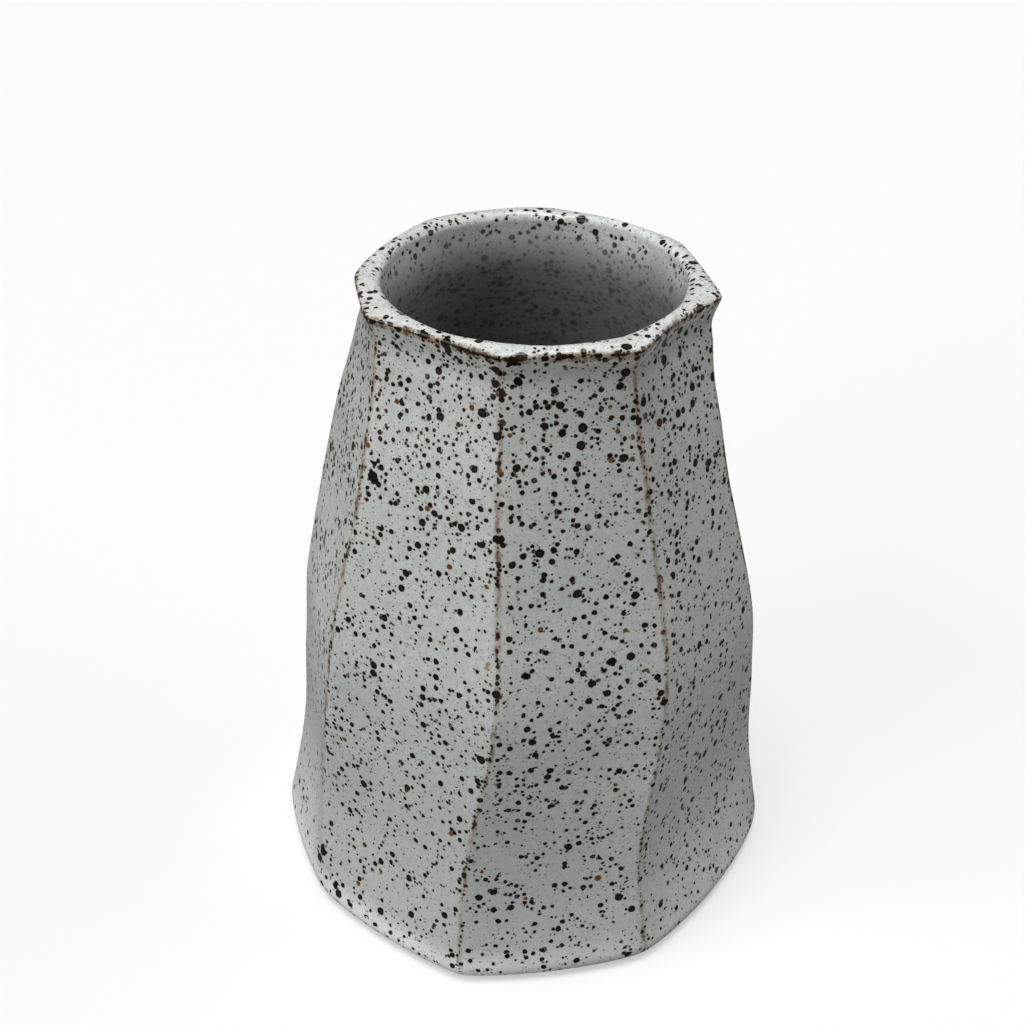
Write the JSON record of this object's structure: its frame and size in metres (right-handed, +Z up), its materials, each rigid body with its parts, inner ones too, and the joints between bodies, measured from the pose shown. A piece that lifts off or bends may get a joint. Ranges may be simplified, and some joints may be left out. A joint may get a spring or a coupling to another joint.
{
  "type": "bud vase",
  "caption": "Small hand-cut stoneware bud vase: a faceted cone with a flared foot, a thin turned-out lip and a round open mouth.",
  "frame": {"origin": "centre of the foot, on the surface that the vase stands on", "axes": "+Z up through the mouth, -Y the front, +X to the right of the front"},
  "size_m": [0.0816, 0.0825, 0.1],
  "materials": {
    "stoneware": "matte",
    "speckled_glaze": "satin",
    "liner_glaze": "satin"
  },
  "bodies": {
    "root": {"stoneware_body": "stoneware", "outer_glaze": "speckled_glaze", "liner_glaze": "liner_glaze"}
  },
  "joints": []
}
